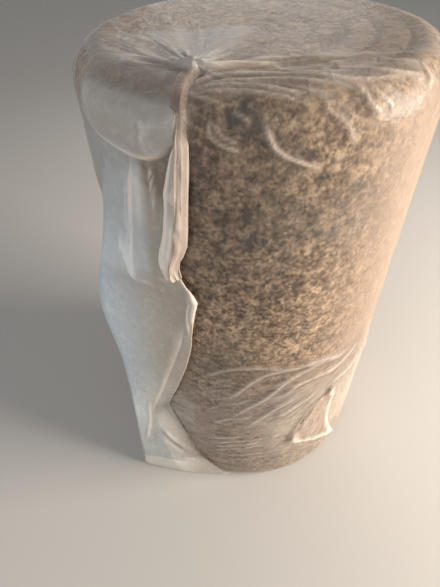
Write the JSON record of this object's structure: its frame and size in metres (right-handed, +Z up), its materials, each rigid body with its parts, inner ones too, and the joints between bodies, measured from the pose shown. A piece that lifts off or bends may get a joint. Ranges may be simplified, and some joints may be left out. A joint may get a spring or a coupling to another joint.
{
  "type": "insulation roll",
  "caption": "Upright wound roll of wool insulation in a loose translucent film bag, with a pocket of spare film at the side and the bag's mouth folded over the rim.",
  "frame": {"origin": "middle of the roll's underside, on the floor", "axes": "+Z up along the roll's axis, -Y towards the front, +X to the right seen from the front"},
  "size_m": [0.7124, 0.7045, 1.2186],
  "materials": {
    "wool": "mottled grey-brown needled wool",
    "film": "thin translucent polyethylene film, clear where it lies on the wool and milky where it stands off"
  },
  "bodies": {
    "root": {"wool_roll": "wool", "film_bag": "film"}
  },
  "joints": []
}
